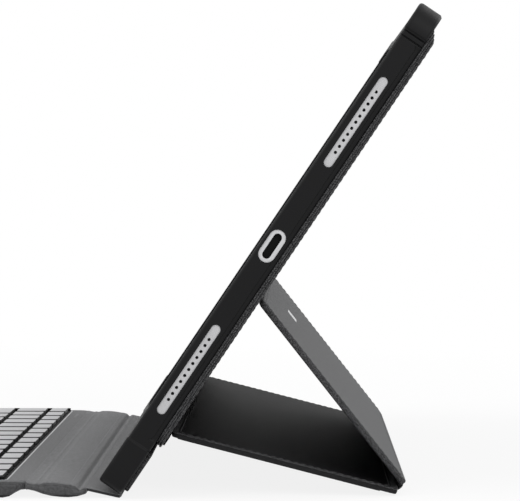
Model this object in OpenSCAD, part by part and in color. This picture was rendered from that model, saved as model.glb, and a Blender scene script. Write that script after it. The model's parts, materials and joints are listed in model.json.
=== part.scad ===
// Keyboard case for a 13-inch class tablet, stood up with its folding stand.
// X runs along the keyboard, -Y is the typing side, +Z is up and Z = 0 is the table.
// The origin is the middle of the footprint, at table height.

/* [Tray] */
// Outside width of the tray shell, along the keyboard
tray_w = 288; // [284:0.5:294]
// Outside height of the tray shell, up its slope
tray_h = 223.5; // [220:0.5:228]
// Thickness of the tray shell
tray_t = 10; // [9:0.1:12]
// Angle between the tray and the table
tray_angle = 56; // [50:0.5:62]
// Width of the pocket that the tablet drops into
pocket_w = 281.4; // [278:0.2:282]
// Height of the pocket that the tablet drops into
pocket_h = 215.7; // [212:0.1:217]
// Thickness of the back wall of the tray
tray_back_t = 1.8; // [1.4:0.1:2.4]
// Overlap of the front lip over the edge of the tablet
lip = 1.7; // [0.8:0.1:2.5]
// How far the corner bumpers stand proud of the walls
bumper_proud = 0.6; // [0.2:0.1:1]

/* [Cut-outs] */
// Length of a speaker grille
grille_l = 41; // [36:0.5:46]
// Height of a speaker grille
grille_h = 3.7; // [3:0.1:4.5]
// Distance from the charging port to the middle of a speaker grille
grille_offset = 57.5; // [50:0.5:62]
// Sound holes in one grille
grille_holes = 11; // [7:1:13]
// Distance between the sound holes
grille_pitch = 2.8; // [2.4:0.1:3]
// Diameter of a sound hole
grille_hole_d = 1.3; // [1:0.1:1.6]
// Length of the charging port surround
port_l = 14; // [12:0.5:16]
// Height of the charging port surround
port_h = 6.7; // [6:0.1:7]
// Side of the square camera window
camera_side = 30; // [24:1:32]

/* [Stand] */
// Width of the two stand panels
stand_w = 266; // [250:1:274]
// Distance between the hinges of each stand panel
arm = 92; // [90:0.5:93]
// Thickness of a stand panel
panel_t = 2.4; // [2:0.1:2.8]
// Slope of the lower stand panel
base_slope = 14.4; // [13:0.1:16]
// Thickness of the board on the back of the tray
board_t = 2.8; // [2:0.1:3.4]
// Width of the board on the back of the tray
board_w = 285; // [274:1:286]

/* [Keyboard] */
// Width of the keyboard
kb_w = 282; // [281:1:285]
// Depth of the keyboard, without the spine
kb_depth = 203; // [198:1:208]
// Thickness of the keyboard and of the spine
kb_t = 6.6; // [6:0.1:6.8]
// Width of the spine from crease to crease
spine_l = 16.8; // [15:0.1:19]
// Width of the thin panel that wraps round the foot of the tray
wrap_l = 16; // [15:0.1:18]
// Width of the key deck
deck_w = 275; // [273:0.5:275]
// Depth of the key deck
deck_d = 95.4; // [95.2:0.1:98]
// Fabric border between the key deck and the spine crease
rear_border = 9.5; // [9:0.1:13]

/* [Keys] */
// Distance between the keys along a row
key_pitch = 18.15; // [18:0.05:18.15]
// Distance between the rows of full keys
row_pitch = 16.5; // [16:0.1:16.7]
// Gap between two keys
key_gap = 2.2; // [2:0.1:3]
// Depth of the function keys
fn_depth = 8; // [7:0.1:9]
// Height of the key tops over the deck
key_proud = 1.5; // [1.2:0.1:1.8]
// Travel of a key
key_travel = 1.2; // [0.8:0.1:1.2]
// Width of the touch pad
pad_w = 110; // [90:1:120]
// Depth of the touch pad
pad_d = 68; // [55:1:72]

/* [Hidden] */
$fn = 48;
// Clearance between pieces that move past each other
gap = 0.3;
// Gap round a key in its window
key_clear = 0.4;
// A cut runs past the face that it opens by this much
past = 1;

// Tray hinge for the wrap panel, under the back edge of the tray's foot
wrap_t = 1;
wrap_w = kb_w - 2;
wrap_z = wrap_t / 2;
foot_drop = 0.9;
foot_back = 0.3;

// The keyboard's crease lies just under its top face, and the groove on the other side of
// the spine lies lower, as the spine falls towards the tray
crease_z = kb_t - 0.8;
groove_z = kb_t - 2.6;
groove_top = groove_z + 0.8;
crease_gap = 2;
wrap_slope = asin((groove_z - wrap_z) / wrap_l);

// Stand geometry: both panels have the same length between hinges, so the free edge of
// the strut runs straight up the board when the fold opens at twice the base's rate.
ct = cos(tray_angle);
st = sin(tray_angle);
fold_z = panel_t / 2;
base_z = fold_z + arm * sin(base_slope);
base_alpha = tray_angle + base_slope;
stand_off = board_t + gap + panel_t / 2;
foot_rise = foot_drop * st + foot_back * ct;
base_along = (base_z - wrap_z - foot_rise + stand_off * ct) / st;
strut_angle = 180 - base_slope - (180 - 2 * base_alpha);
strut_rest = 2 * arm * cos(base_alpha);
strut_lean = 1.8;

// Footprint, from which the origin is found
foot_shift = foot_drop * ct - foot_back * st;
base_reach = foot_shift + base_along * ct + stand_off * st;
back_reach = max(base_reach + arm * cos(base_slope) + panel_t / 2, foot_shift + tray_h * ct);
front_reach = wrap_l * cos(wrap_slope) + spine_l + crease_gap + kb_depth;
wrap_y = (front_reach - back_reach) / 2;
tray_y = wrap_y + foot_shift;
tray_z = wrap_z + foot_rise;
base_y = wrap_y + base_reach;
fold_y = base_y + arm * cos(base_slope);
groove_y = wrap_y - wrap_l * cos(wrap_slope);
crease_y = groove_y - spine_l;
kb_rear = crease_y - crease_gap;
kb_front = kb_rear - kb_depth;

// Tray details
tray_r = 11;
pocket_along = 111.6;
port_along = 113;
wall_mid = 5.2;
bumper_l = 21;
bumper_top_l = 12.5;
insert_t = 1.5;
insert_sink = 0.3;
lining_t = 0.4;
camera_x = -tray_w / 2 + 24;
camera_along = tray_h - 25;
camera_r = 8;
camera_trim_w = 1.2;

// Board and stand details
board_low = 23.5;
board_high = tray_h - 6.5;
board_r = 6;
skin = 0.8;
rim = 3;
lining_skin = 0.5;
fold_gap = 3.9;
outer_gap = 1.5;
strip_low = 1.2;
strip_l = 17.5;
strip_t = 1.9;
badge_w = 18;
badge_h = 6;
badge_drop = 17;
magnet_w = 30;
magnet_l = 6;
magnet_x = [-96, -32, 32, 96];
magnet_steps = [0, 17, 32.5];

// Keyboard details
chamfer = 3;
kb_r = 7;
deck_t = 1.2;
deck_rear = kb_rear - rear_border;
trim_w = 0.7;
trim_t = 1.4;
cavity_wall = 4;
end_wall = 3;
floor_t = 0.8;
plate_t = 0.4;
membrane_t = 0.3;
dome_r = 2.2;
flange = 0.6;
flange_t = 0.5;
key_r = 1.2;
key_under = kb_t - deck_t - 0.1;
deck_margin = 2.3;
keys_w = 15 * key_pitch;
pad_gap = 0.4;
pad_t = 1.1;
pad_travel = 0.3;
pad_front = 8;
pad_y = kb_front + pad_front + pad_d / 2;
pad_under = kb_t - pad_t - pad_travel - 0.1;
cavity_top = kb_t - 1;
plate_top = floor_t + plate_t;
// A key pushed right down just reaches its dome
dome_h = key_under - key_travel - 0.05 - plate_top - membrane_t;
charge_y = kb_front + 85;
switch_y = kb_front + 66;
switch_travel = 3.6;
pairing_y = kb_front + 52;
side_mid = kb_t / 2;
side_out = 0.4;
light_y = kb_rear - 5.6;
light_r = 0.6;
function light_x(i) = -kb_w / 2 + 24 + 6 * i;
row_y = [for (i = [0:5])
    deck_rear - deck_margin - (i == 0 ? 0 : fn_depth + key_gap + (i - 1) * row_pitch)];
row_depth = [for (i = [0:5]) i == 0 ? fn_depth : row_pitch - key_gap];

// Key widths along each row, in pitches
function_row = [for (i = [0:13]) 15 / 14];
number_row = [for (i = [0:13]) i == 13 ? 2 : 1];
upper_row = [for (i = [0:13]) i == 0 || i == 13 ? 1.5 : 1];
home_row = [for (i = [0:12]) i == 0 ? 1.75 : i == 12 ? 2.25 : 1];
lower_row = [for (i = [0:11]) i == 0 ? 2.25 : i == 11 ? 2.75 : 1];
bottom_row = [1, 1, 1, 1.25, 5.25, 1.25, 1, 1, 1.25, 1];
space_index = 4;

// ---- Shared shapes ----

// Rectangle with round corners, centred on the origin
module round_rect(w, h, r) {
    square([w - 2 * r, h], center = true);
    square([w, h - 2 * r], center = true);
    for (x = [-1, 1], y = [-1, 1])
        translate([x * (w / 2 - r), y * (h / 2 - r)]) circle(r);
}

// Plate with round corners: centred along X, from y0 to y1 and from z0 to z1
module plate(w, y0, y1, z0, z1, r) {
    translate([0, (y0 + y1) / 2, z0]) linear_extrude(z1 - z0) round_rect(w, y1 - y0, r);
}

// Block centred along X at x, from y0 to y1 and from z0 to z1
module block(x, w, y0, y1, z0, z1) {
    translate([x - w / 2, y0, z0]) cube([w, y1 - y0, z1 - z0]);
}

// Round bar along X through the point (y, z)
module bar(w, y, z, r) {
    translate([-w / 2, y, z]) rotate([0, 90, 0]) cylinder(h = w, r = r);
}

// Slot with round ends, l long and h high
module slot_shape(l, h) {
    square([l - h, h], center = true);
    for (s = [-1, 1]) translate([s * (l - h) / 2, 0]) circle(h / 2);
}

// Lays a shape on a wall that faces along X: its length up the slope, its height across
module on_wall(x, along, depth) {
    translate([x, along, wall_mid]) rotate([90, 0, 90]) linear_extrude(depth) children();
}

// Frames of the bodies: Y runs along the panel and Z is its thickness
module on_tray() { translate([0, tray_y, tray_z]) rotate([tray_angle, 0, 0]) children(); }
module on_base() { translate([0, base_y, base_z]) rotate([-base_slope, 0, 0]) children(); }
module on_fold() { translate([0, fold_y, fold_z]) rotate([strut_angle, 0, 0]) children(); }
// The strut's panel leans outwards from its free edge, so the fold has room below it
module on_strut() {
    on_fold() translate([0, arm, 0]) rotate([strut_lean, 0, 0]) translate([0, -arm, 0])
        children();
}
module on_wrap() { translate([0, wrap_y, wrap_z]) rotate([-wrap_slope, 0, 0]) children(); }

// ---- Tray ----

// Corner bumpers: square zones at the four corners, deeper at the foot
module bumper_zones() {
    for (s = [-1, 1]) {
        block(s * (tray_w / 2 - bumper_l / 2 + past), bumper_l + 2 * past, -past, bumper_l,
            -past, tray_t + past);
        block(s * (tray_w / 2 - bumper_l / 2 + past), bumper_l + 2 * past,
            tray_h - bumper_top_l, tray_h + past, -past, tray_t + past);
    }
}

module tray_body() {
    p = bumper_proud;
    plate(tray_w - 2 * p, 0, tray_h - p, 0, tray_t, tray_r - p);
    intersection() {
        plate(tray_w, 0, tray_h, 0, tray_t + p / 2, tray_r);
        bumper_zones();
    }
}

module tray_shell() color("#262626") on_tray() difference() {
    tray_body();
    // Pocket for the tablet, and the window inside the lip
    plate(pocket_w, pocket_along - pocket_h / 2, pocket_along + pocket_h / 2,
        tray_back_t, tray_t - 1.4, 9);
    plate(pocket_w - 2 * lip, pocket_along - pocket_h / 2 + lip,
        pocket_along + pocket_h / 2 - lip, tray_back_t, tray_t + past, 8);
    // Speaker and port cut-outs
    for (s = [-1, 1], side = [-1, 1])
        on_wall(side > 0 ? tray_w / 2 - 8 : -tray_w / 2 - past, port_along + s * grille_offset,
            8 + past)
            slot_shape(grille_l, grille_h);
    on_wall(tray_w / 2 - 8, port_along, 8 + past) slot_shape(port_l, port_h);
    // Power button on the left wall, volume buttons on the top wall
    on_wall(-tray_w / 2 - past, tray_h - 22, 8) slot_shape(14, 3.6);
    translate([-tray_w / 2 + 44, tray_h + past, wall_mid]) rotate([90, 0, 0])
        linear_extrude(8) slot_shape(26, 3.6);
    // Grooves behind the upper bumpers
    for (s = [-1, 1], k = [0, 1])
        block(s * tray_w / 2, 4 * bumper_proud, tray_h - bumper_top_l - 1 - 2.2 * k,
            tray_h - bumper_top_l - 0.2 - 2.2 * k, -past, tray_t + past);
    // Camera window
    translate([camera_x, camera_along, -past]) linear_extrude(tray_back_t + 2 * past)
        round_rect(camera_side, camera_side, camera_r);
}

module tray_lining() color("#1a1a1c") on_tray() difference() {
    plate(pocket_w - 1, pocket_along - pocket_h / 2 + 0.5, pocket_along + pocket_h / 2 - 0.5,
        tray_back_t, tray_back_t + lining_t, 8.5);
    translate([camera_x, camera_along, tray_back_t - past]) linear_extrude(3)
        round_rect(camera_side, camera_side, camera_r);
}

// Thin perforated insert that closes a speaker cut-out
module grille() difference() {
    slot_shape(grille_l, grille_h);
    for (i = [0:grille_holes - 1])
        translate([(i - (grille_holes - 1) / 2) * grille_pitch, 0]) circle(grille_hole_d / 2);
}

module speaker_grilles_right() color("#c6c7c9") on_tray()
    for (s = [-1, 1])
        on_wall(tray_w / 2 - bumper_proud - insert_sink - insert_t,
            port_along + s * grille_offset, insert_t) grille();

module speaker_grilles_left() color("#c6c7c9") on_tray()
    for (s = [-1, 1])
        on_wall(-tray_w / 2 + bumper_proud + insert_sink, port_along + s * grille_offset,
            insert_t) grille();

module port_surround() color("#d2d3d5") on_tray()
    on_wall(tray_w / 2 - bumper_proud - insert_sink - insert_t, port_along, insert_t)
        difference() {
            slot_shape(port_l, port_h);
            slot_shape(11, 3.3);
        }

module camera_window_trim() color("#101010") on_tray()
    translate([camera_x, camera_along, -board_t]) linear_extrude(board_t + tray_back_t)
        difference() {
            round_rect(camera_side, camera_side, camera_r);
            round_rect(camera_side - 2 * camera_trim_w, camera_side - 2 * camera_trim_w,
                camera_r - camera_trim_w);
        }

// Outline of the pocket in the board for its stiffener
module board_pocket(z0, z1, shrink) {
    plate(board_w - 2 * rim - 2 * shrink, board_low + rim + shrink, board_high - rim - shrink,
        z0, z1, 4);
}

// Places along the tray where the strut's free edge is held
function hold_along(i) = base_along + strut_rest + magnet_steps[i];

module board_magnet_slots(w, l, z0, z1) {
    for (i = [0:2], x = magnet_x)
        block(x, w, hold_along(i) - l / 2, hold_along(i) + l / 2, z0, z1);
}

module back_board() color("#2b2b2d") on_tray() difference() {
    plate(board_w, board_low, board_high, -board_t, 0, board_r);
    board_pocket(-board_t + skin, past, 0);
    translate([camera_x, camera_along, -board_t - past]) linear_extrude(board_t + 2 * past)
        round_rect(camera_side, camera_side, camera_r);
}

module back_board_stiffener() color("#8c8c88") on_tray() difference() {
    board_pocket(-board_t + skin, 0, 0);
    board_magnet_slots(magnet_w, magnet_l, -board_t, past);
    translate([camera_x, camera_along, -board_t]) linear_extrude(board_t + past)
        round_rect(camera_side + 2, camera_side + 2, camera_r + 1);
}

module tray_magnets() color("#b9bcc0") on_tray()
    board_magnet_slots(magnet_w - 0.4, magnet_l - 0.4, -board_t + skin, -0.4);

module anchor_strip() color("#343436") on_tray() {
    plate(stand_w, strip_low, strip_low + strip_l, -strip_t, 0, 1.5);
}

// Flexible web from the foot of the board to the hinge of the lower stand panel
module base_hinge_web() color("#343436") on_tray() {
    web_low = strip_low + strip_l + 0.6;
    block(0, stand_w, web_low, board_low - 0.1, -0.8, 0);
    block(0, stand_w, board_low + 1, base_along - panel_t / 2 - gap - 0.2,
        -board_t - 0.8, -board_t);
}

// ---- Lower stand panel ----

module base_cover() color("#2e2e30") on_base() difference() {
    union() {
        plate(stand_w, 0, arm - fold_gap, -panel_t / 2, panel_t / 2, 2);
        block(0, stand_w, arm - fold_gap - 2, arm - outer_gap, -panel_t / 2,
            -panel_t / 2 + skin);
        bar(stand_w, 0, 0, panel_t / 2);
    }
    plate(stand_w - 2 * rim, rim, arm - fold_gap - rim, -panel_t / 2 + skin, panel_t, 2);
}

module base_stiffener() color("#8c8c88") on_base()
    plate(stand_w - 2 * rim, rim, arm - fold_gap - rim, -panel_t / 2 + skin,
        panel_t / 2 - lining_skin, 2);

module base_lining() color("#161617") on_base()
    plate(stand_w - 2 * rim, rim, arm - fold_gap - rim, panel_t / 2 - lining_skin,
        panel_t / 2, 2);

// Rounded fabric fold at the back edge, where the stand bends
module fold_hinge() color("#2e2e30") on_base() {
    bar(stand_w, arm, 0, panel_t / 2);
}

// ---- Strut ----

module strut_cover() color("#6c6e70") {
    on_strut() difference() {
        union() {
            plate(stand_w, fold_gap, arm, -panel_t / 2, panel_t / 2, 2);
            bar(stand_w, arm, 0, panel_t / 2);
        }
        plate(stand_w - 2 * rim, fold_gap + rim, arm - rim, -panel_t / 2 + skin, panel_t, 2);
        badge_cut();
    }
    on_fold() strut_web();
}

// Wedge of folded cover between the hinge line and the strut's lower edge
module strut_web() {
    foot = panel_t / 2 + gap;
    lift = arm * sin(strut_lean) + panel_t / 2;
    translate([-stand_w / 2, 0, 0]) rotate([90, 0, 90]) linear_extrude(stand_w) polygon([
        [gap, -foot], [gap, -foot - 0.6], [fold_gap, 0.12 - lift], [fold_gap + 1, 0.2 - lift],
        [fold_gap + 1, 1.4 - lift], [fold_gap, -foot]
    ]);
}

// Shallow seat for the badge plate, on the outer face
module badge_cut() {
    translate([0, arm - badge_drop, -panel_t / 2 - past]) linear_extrude(0.25 + past)
        round_rect(badge_w, badge_h, 1);
}

module badge_plate() color("#cfd0d2") on_strut()
    translate([0, arm - badge_drop, -panel_t / 2 - 0.1]) linear_extrude(0.35)
        round_rect(badge_w, badge_h, 1);

module strut_stiffener() color("#8c8c88") on_strut() difference() {
    plate(stand_w - 2 * rim, fold_gap + rim, arm - rim, -panel_t / 2 + skin,
        panel_t / 2 - lining_skin, 2);
    for (x = magnet_x) block(x, magnet_w, arm - 11, arm - 5, -panel_t, panel_t);
}

module strut_magnets() color("#b9bcc0") on_strut()
    for (x = magnet_x)
        block(x, magnet_w - 0.4, arm - 10.8, arm - 5.2, -panel_t / 2 + skin,
            panel_t / 2 - lining_skin);

module strut_lining() color("#161617") on_strut()
    plate(stand_w - 2 * rim, fold_gap + rim, arm - rim, panel_t / 2 - lining_skin,
        panel_t / 2, 2);

// ---- Wrap panel, round the foot of the tray ----

module wrap_panel() color("#6c6e70") on_wrap() difference() {
    union() {
        block(0, wrap_w, -wrap_l + 1.2, 0, -wrap_t / 2, wrap_t / 2);
        bar(wrap_w, 0, 0, wrap_t / 2);
    }
    block(0, wrap_w - 8, -wrap_l + 4, -4, -0.1, wrap_t);
}

module wrap_stiffener() color("#3a3a3c") on_wrap()
    block(0, wrap_w - 8, -wrap_l + 4, -4, -0.1, wrap_t / 2);

// ---- Spine ----

// Padded panel from y0 to y1, its lower long edges chamfered: its top is level, or falls to
// the height z1 at y1
module padded_slab(w, y0, y1, z1 = kb_t) {
    translate([-w / 2, 0, 0]) rotate([90, 0, 90]) linear_extrude(w) polygon([
        [y0 + chamfer, 0], [y1 - chamfer, 0], [y1, chamfer], [y1, z1],
        [y0 + chamfer, kb_t], [y0, kb_t], [y0, chamfer]
    ]);
}

module spine_cover() color("#6c6e70") difference() {
    padded_slab(kb_w, crease_y + crease_gap, groove_y - crease_gap, groove_top);
    block(0, kb_w - 2 * rim, crease_y + crease_gap + rim, groove_y - crease_gap - rim,
        1.2, groove_top - skin);
}

module spine_stiffener() color("#8c8c88")
    block(0, kb_w - 2 * rim, crease_y + crease_gap + rim, groove_y - crease_gap - rim,
        1.2, groove_top - skin);

// Flexible web on the wrap panel's side of the spine
module spine_hinge_web() color("#6c6e70") {
    bar(wrap_w, groove_y, groove_z, 0.6);
    block(0, wrap_w, groove_y - crease_gap, groove_y, groove_z - 0.4, groove_z + 0.4);
}

// ---- Keyboard ----

module keyboard_outline() {
    intersection() {
        padded_slab(kb_w, kb_front, kb_rear);
        plate(kb_w, kb_front, kb_rear + 20, -past, kb_t + past, kb_r);
    }
}

// Hollow inside the keyboard, open to the key deck and the touch pad
module keyboard_cover() color("#6c6e70") difference() {
    keyboard_outline();
    block(0, kb_w - 2 * end_wall, kb_front + cavity_wall, kb_rear - cavity_wall,
        floor_t, cavity_top);
    plate(deck_w, deck_rear - deck_d, deck_rear, floor_t + 1, kb_t + past, 3);
    plate(pad_w + 2 * pad_gap, pad_y - pad_d / 2 - pad_gap, pad_y + pad_d / 2 + pad_gap,
        floor_t + 1, kb_t + past, 3);
    // Side windows for the socket, the switch and the button
    side_window(charge_y, 9, 2.6);
    side_window(switch_y, 8, 1.8);
    side_window(pairing_y, 4.4, 1.8);
    // Windows for the indicator lights
    for (i = [0:2]) translate([light_x(i), light_y, kb_t - 2]) cylinder(h = 3, r = light_r);
}

// Cuts a window of length l and height h through the left side wall
module side_window(y, l, h) {
    translate([-kb_w / 2 - past, y, side_mid]) rotate([90, 0, 90])
        linear_extrude(end_wall + 2 * past) slot_shape(l, h);
}

module keyboard_hinge_web() color("#6c6e70") {
    bar(kb_w, crease_y, crease_z, 0.7);
    block(0, kb_w, kb_rear, crease_y, crease_z - 0.5, crease_z + 0.5);
}

// Middle of key i in a row of widths, measured from the left end of the row
function row_start(widths, i) = i == 0 ? 0 : row_start(widths, i - 1) + widths[i - 1];
function key_x(widths, i) = (row_start(widths, i) + widths[i] / 2) * key_pitch - keys_w / 2;
function key_w(widths, i) = widths[i] * key_pitch - key_gap;

// Places children() at a key, with the row's front edge at row_y - depth
module at_key(row, widths, i) {
    translate([key_x(widths, i), row_y[row] - row_depth[row] / 2, 0]) children();
}

module key_window(row, widths, i) {
    at_key(row, widths, i) linear_extrude(kb_t + past)
        round_rect(key_w(widths, i) + 2 * key_clear, row_depth[row] + 2 * key_clear,
            key_r + key_clear);
}

module row_windows(row, widths) {
    for (i = [0:len(widths) - 1]) key_window(row, widths, i);
}

module key_deck() color("#141415") difference() {
    union() {
        plate(deck_w - 2 * trim_w, deck_rear - deck_d + trim_w, deck_rear - trim_w,
            kb_t - deck_t, kb_t, 2.4);
        // Skirt that stands on the base plate
        difference() {
            plate(deck_w - 2 * trim_w, deck_rear - deck_d + trim_w, deck_rear - trim_w,
                plate_top, kb_t - deck_t, 2.4);
            plate(deck_w - 2 * trim_w - 1.6, deck_rear - deck_d + trim_w + 0.8,
                deck_rear - trim_w - 0.8, 0, kb_t, 0.8);
        }
    }
    row_windows(0, function_row);
    row_windows(1, number_row);
    row_windows(2, upper_row);
    row_windows(3, home_row);
    row_windows(4, lower_row);
    row_windows(5, bottom_row);
}

module deck_trim() color("#b4b6b8") difference() {
    plate(deck_w, deck_rear - deck_d, deck_rear, kb_t - trim_t, kb_t + 0.1, 3);
    plate(deck_w - 2 * trim_w, deck_rear - deck_d + trim_w, deck_rear - trim_w,
        0, kb_t + past, 2.4);
}

module base_plate() color("#9a9da0")
    plate(kb_w - 2 * end_wall - 1, kb_front + cavity_wall + 0.5, deck_rear + 0.3,
        floor_t, floor_t + plate_t, 3);

module membrane_sheet() color("#dfe3e6")
    plate(deck_w - 6, deck_rear - deck_d + 3, deck_rear - 3, plate_top,
        plate_top + membrane_t, 2);

module row_domes(row, widths) {
    for (i = [0:len(widths) - 1]) at_key(row, widths, i)
        translate([0, 0, plate_top + membrane_t]) cylinder(h = dome_h, r = dome_r);
}

module rubber_domes() color("#cfd2d0") {
    row_domes(0, function_row);
    row_domes(1, number_row);
    row_domes(2, upper_row);
    row_domes(3, home_row);
    row_domes(4, lower_row);
    row_domes(5, bottom_row);
}

module battery_cells() color("#8f9aa3")
    for (s = [-1, 1])
        translate([s * 95, pad_y, plate_top]) linear_extrude(2.0) round_rect(66, 62, 2);

module circuit_board() color("#1d5a3a")
    block(-kb_w / 2 + 37, 60, kb_front + 78, kb_front + 92, plate_top, plate_top + 0.6);

module charge_socket() color("#a9acb0") difference() {
    translate([-kb_w / 2 + 0.4, charge_y, side_mid]) rotate([90, 0, 90])
        linear_extrude(6.5) slot_shape(8.8, 2.4);
    translate([-kb_w / 2, charge_y, side_mid]) rotate([90, 0, 90])
        linear_extrude(5.5) slot_shape(8.2, 1.8);
}

module indicator_lights() color("#e8f2ea")
    for (i = [0:2]) translate([light_x(i), light_y, kb_t - 1.2]) cylinder(h = 1.25, r = light_r);

module keyboard_magnets() color("#b9bcc0")
    for (s = [-1, 1])
        translate([s * 132, kb_front + 12, plate_top]) cylinder(h = 1.8, r = 3.5);

// One key: a cap that stands through its window, and a hollow flange under the deck
module key_cap(w, d) {
    top = kb_t + key_proud;
    translate([0, 0, key_under]) linear_extrude(top - key_under) round_rect(w, d, key_r);
    translate([0, 0, key_under - flange_t]) linear_extrude(flange_t) difference() {
        square([w + 2 * flange, d + 2 * flange], center = true);
        square([w - 2, d - 2], center = true);
    }
    translate([0, 0, key_under - flange_t]) linear_extrude(flange_t + 0.05) difference() {
        square([w, d], center = true);
        square([w - 2, d - 2], center = true);
    }
}

module key_row(row, widths, skip = -1) color("#c3c4c6")
    for (i = [0:len(widths) - 1]) if (i != skip)
        at_key(row, widths, i) key_cap(key_w(widths, i), row_depth[row]);

module function_keys() key_row(0, function_row);
module number_keys() key_row(1, number_row);
module upper_letter_keys() key_row(2, upper_row);
module home_letter_keys() key_row(3, home_row);
module lower_letter_keys() key_row(4, lower_row);
module bottom_keys() key_row(5, bottom_row, space_index);

module space_bar() color("#c3c4c6")
    at_key(5, bottom_row, space_index)
        key_cap(key_w(bottom_row, space_index), row_depth[5]);

module touch_pad() color("#3c3d3f")
    plate(pad_w, pad_y - pad_d / 2, pad_y + pad_d / 2, kb_t - pad_t, kb_t, 2.6);

// Open frame that carries the touch pad, with its click switch in the middle
module touch_pad_frame() color("#2a2b2c") {
    difference() {
        plate(pad_w, pad_y - pad_d / 2, pad_y + pad_d / 2, plate_top, pad_under, 2.6);
        plate(pad_w - 12, pad_y - pad_d / 2 + 6, pad_y + pad_d / 2 - 6, 0, kb_t, 2);
    }
    translate([0, pad_y, plate_top]) cylinder(h = pad_under - plate_top, r = 3);
}

// Plunger in the left side wall: its stem is l by h, and a flange inside holds it
module side_plunger(y, l, h) {
    translate([-kb_w / 2 - side_out, y, side_mid]) rotate([90, 0, 90])
        linear_extrude(side_out + end_wall + 0.2) slot_shape(l, h);
    translate([-kb_w / 2 + end_wall + 0.1, y, side_mid]) rotate([90, 0, 90])
        linear_extrude(0.8) slot_shape(l + 1.8, h + 0.8);
}

module power_switch() color("#1b1b1c")
    side_plunger(switch_y + switch_travel / 2, 3.2, 1.5);

module pairing_button() color("#1b1b1c") side_plunger(pairing_y, 3.8, 1.4);

// ---- Nodes ----

tray_shell();
tray_lining();
speaker_grilles_right();
speaker_grilles_left();
port_surround();
camera_window_trim();
back_board();
back_board_stiffener();
tray_magnets();
anchor_strip();
base_hinge_web();
base_cover();
base_stiffener();
base_lining();
fold_hinge();
strut_cover();
strut_stiffener();
strut_lining();
strut_magnets();
badge_plate();
wrap_panel();
wrap_stiffener();
spine_cover();
spine_stiffener();
spine_hinge_web();
keyboard_cover();
keyboard_hinge_web();
key_deck();
deck_trim();
base_plate();
membrane_sheet();
rubber_domes();
battery_cells();
circuit_board();
charge_socket();
indicator_lights();
keyboard_magnets();
function_keys();
number_keys();
upper_letter_keys();
home_letter_keys();
lower_letter_keys();
bottom_keys();
space_bar();
touch_pad();
touch_pad_frame();
power_switch();
pairing_button();
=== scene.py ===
"""Looks for the tablet keyboard case: materials, modelled soft covers, refined shells, light and camera."""
import json
import math

import bmesh
import bpy
from mathutils import Matrix, Vector

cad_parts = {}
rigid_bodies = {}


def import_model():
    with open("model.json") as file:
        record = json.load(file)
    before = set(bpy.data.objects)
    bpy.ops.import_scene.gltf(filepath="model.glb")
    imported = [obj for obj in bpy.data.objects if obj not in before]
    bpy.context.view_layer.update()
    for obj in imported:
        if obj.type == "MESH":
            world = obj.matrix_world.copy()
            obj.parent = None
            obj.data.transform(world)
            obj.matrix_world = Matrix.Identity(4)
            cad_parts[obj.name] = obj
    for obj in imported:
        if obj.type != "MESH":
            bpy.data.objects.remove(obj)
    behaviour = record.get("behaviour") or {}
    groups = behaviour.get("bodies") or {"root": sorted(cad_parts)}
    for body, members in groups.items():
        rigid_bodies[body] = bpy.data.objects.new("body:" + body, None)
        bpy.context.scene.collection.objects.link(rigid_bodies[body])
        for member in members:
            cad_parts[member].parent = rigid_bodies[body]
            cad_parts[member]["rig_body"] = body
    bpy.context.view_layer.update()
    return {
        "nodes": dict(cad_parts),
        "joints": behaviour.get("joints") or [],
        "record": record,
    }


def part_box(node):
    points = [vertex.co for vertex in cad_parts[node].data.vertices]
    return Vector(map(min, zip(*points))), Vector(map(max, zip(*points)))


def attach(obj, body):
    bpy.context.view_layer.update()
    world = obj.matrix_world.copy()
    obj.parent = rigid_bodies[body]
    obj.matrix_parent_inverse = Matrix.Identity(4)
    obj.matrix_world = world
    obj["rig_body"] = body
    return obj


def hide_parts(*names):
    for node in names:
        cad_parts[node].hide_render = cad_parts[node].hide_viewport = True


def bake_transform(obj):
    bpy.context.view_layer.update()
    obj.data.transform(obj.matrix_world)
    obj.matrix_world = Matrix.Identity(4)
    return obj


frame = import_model()
MM = 0.001

# ---- Sizes, and places taken from the frame ----

HINGE = {j["name"]: Vector(j["pos_m"]) for j in frame["joints"] if "pos_m" in j}
TRAY_ANGLE = math.radians(56)
TRAY_W, TRAY_H, TRAY_T = 288 * MM, 223.5 * MM, 10 * MM
FOOT_DROP, FOOT_BACK = 0.9 * MM, 0.3 * MM
STAND_HALF = 1.2 * MM
STRUT_LEAN = math.radians(1.8)
BOARD_T = 2.8 * MM
STAND_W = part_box("base_cover")[1].x * 2
KB_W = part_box("keyboard_cover")[1].x * 2
KB_FRONT, KB_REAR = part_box("keyboard_cover")[0].y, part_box("keyboard_cover")[1].y
KB_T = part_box("keyboard_cover")[1].z
GROOVE_Y, CREASE_Y = HINGE["spine_fold"].y, HINGE["keyboard_fold"].y
GROOVE_Z = HINGE["spine_fold"].z
# How far the corner bumpers stand proud of the walls
BUMPER = 0.6 * MM


def placed(origin, angle):
    """Frame of a panel: Y runs along it, turned by angle about X."""
    return Matrix.Translation(origin) @ Matrix.Rotation(angle, 4, "X")


def between(a, b):
    """Angle about X of the line from a to b."""
    return math.atan2(b.z - a.z, b.y - a.y)


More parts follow.
